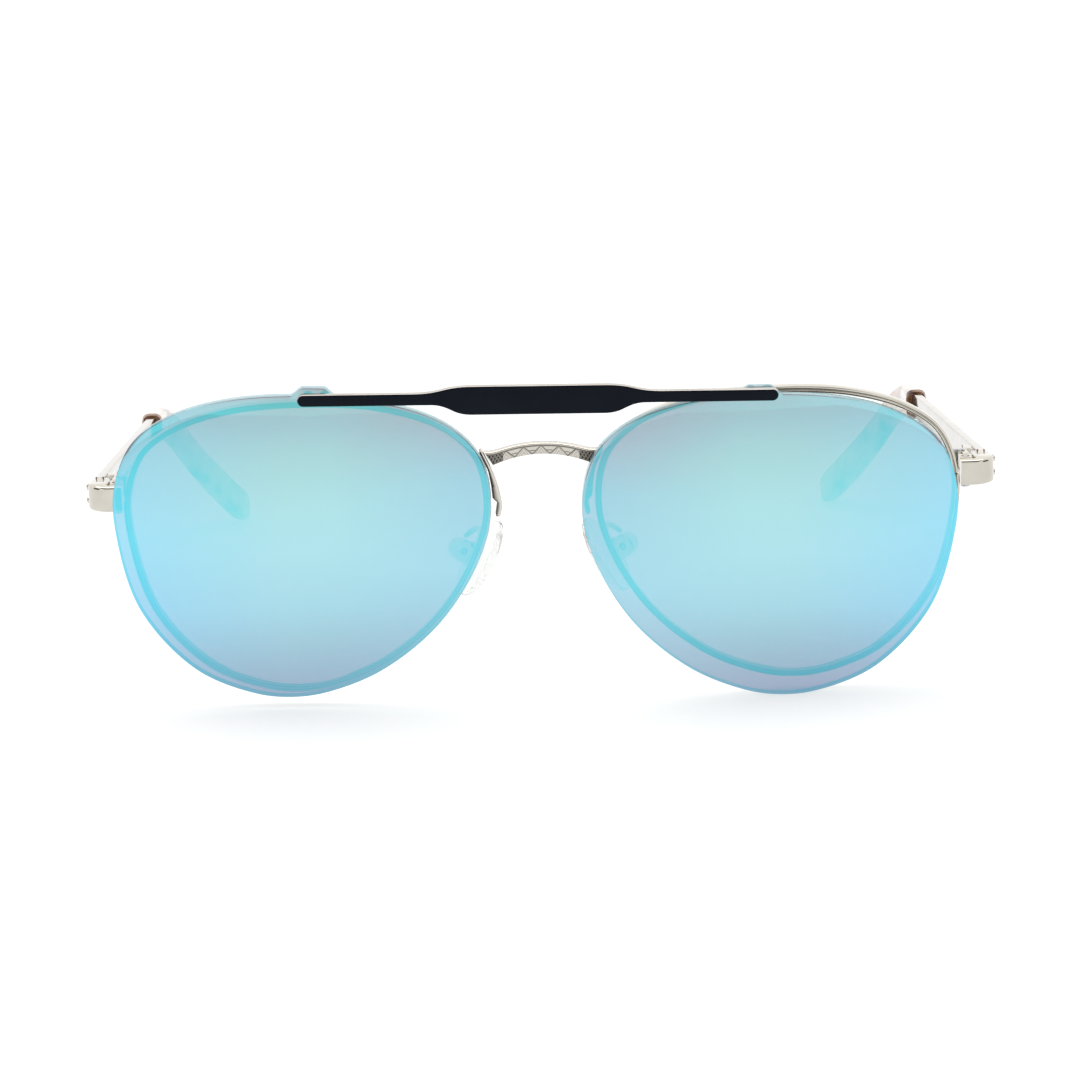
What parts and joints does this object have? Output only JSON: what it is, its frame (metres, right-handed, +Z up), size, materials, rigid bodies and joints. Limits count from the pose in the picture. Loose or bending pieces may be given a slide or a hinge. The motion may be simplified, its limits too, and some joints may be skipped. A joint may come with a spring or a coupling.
{
  "type": "aviator sunglasses with clip-on",
  "caption": "Metal aviator spectacles with clear lenses, folding temples and silicone nose pads, wearing a rimless mirrored clip-on hung from a dark bar.",
  "frame": {"origin": "middle of the footprint on the table, with the temples open", "axes": "+Z up, -Y the way the lenses face, +X the wearer's left; the temples run back along +Y"},
  "size_m": [0.142, 0.1442, 0.0517],
  "materials": {
    "silver": "polished, warm silver",
    "steel": "bright turned steel",
    "navy": "matte navy black",
    "mirror_lens": "ice-blue mirror coat on a tinted lens",
    "clear_lens": "clear, polished",
    "silicone": "translucent, satin",
    "acetate": "polished, mottled beige, brown and grey"
  },
  "bodies": {
    "front": {"bridge": "silver", "left_rim": "silver", "left_clear_lens": "clear_lens", "left_bridge_plate": "silver", "left_end_piece": "silver", "left_upper_closing_block": "silver", "left_lower_closing_block": "silver", "left_closing_screw": "steel", "left_pad_arm": "silver", "left_pad_box": "silver", "left_pad_screw": "steel", "left_front_hinge_leaf": "silver", "left_upper_hinge_rivet": "silver", "left_lower_hinge_rivet": "silver", "left_hinge_screw": "steel", "right_rim": "silver", "right_clear_lens": "clear_lens", "right_bridge_plate": "silver", "right_end_piece": "silver", "right_upper_closing_block": "silver", "right_lower_closing_block": "silver", "right_closing_screw": "steel", "right_pad_arm": "silver", "right_pad_box": "silver", "right_pad_screw": "steel", "right_front_hinge_leaf": "silver", "right_upper_hinge_rivet": "silver", "right_lower_hinge_rivet": "silver", "right_hinge_screw": "steel"},
    "left_temple": {"left_temple_hinge_leaf": "silver", "left_temple_blade": "silver", "left_temple_tip": "acetate"},
    "left_pad": {"left_nose_pad": "silicone", "left_pad_post": "silver"},
    "right_temple": {"right_temple_hinge_leaf": "silver", "right_temple_blade": "silver", "right_temple_tip": "acetate"},
    "right_pad": {"right_nose_pad": "silicone", "right_pad_post": "silver"},
    "clip_on": {"clip_bar": "navy", "left_clip_lens": "mirror_lens", "left_inner_clip_pin": "steel", "left_inner_clip_magnet": "steel", "left_outer_clip_pin": "steel", "left_outer_clip_magnet": "steel", "right_clip_lens": "mirror_lens", "right_inner_clip_pin": "steel", "right_inner_clip_magnet": "steel", "right_outer_clip_pin": "steel", "right_outer_clip_magnet": "steel"}
  },
  "joints": [
    {"name": "left_temple_fold", "type": "hinge", "parent": "front", "child": "left_temple", "pos_m": [0.0657, -0.05394, 0.03334], "axis": [0, 0.0872, 0.9962], "range_deg": [0, 87]},
    {"name": "right_temple_fold", "type": "hinge", "parent": "front", "child": "right_temple", "pos_m": [-0.0657, -0.05394, 0.03334], "axis": [0, -0.0872, -0.9962], "range_deg": [0, 73]},
    {"name": "left_pad_rock", "type": "hinge", "parent": "front", "child": "left_pad", "pos_m": [0.01289, -0.05612, 0.02249], "axis": [0.4067, 0.9113, 0.0637], "range_deg": [-6, 6]},
    {"name": "right_pad_rock", "type": "hinge", "parent": "front", "child": "right_pad", "pos_m": [-0.01289, -0.05612, 0.02249], "axis": [-0.4067, 0.9113, 0.0637], "range_deg": [-6, 6]},
    {"name": "clip_pull_off", "type": "slide", "parent": "front", "child": "clip_on", "axis": [0, -1, 0], "range_m": [0, 0.045]}
  ]
}
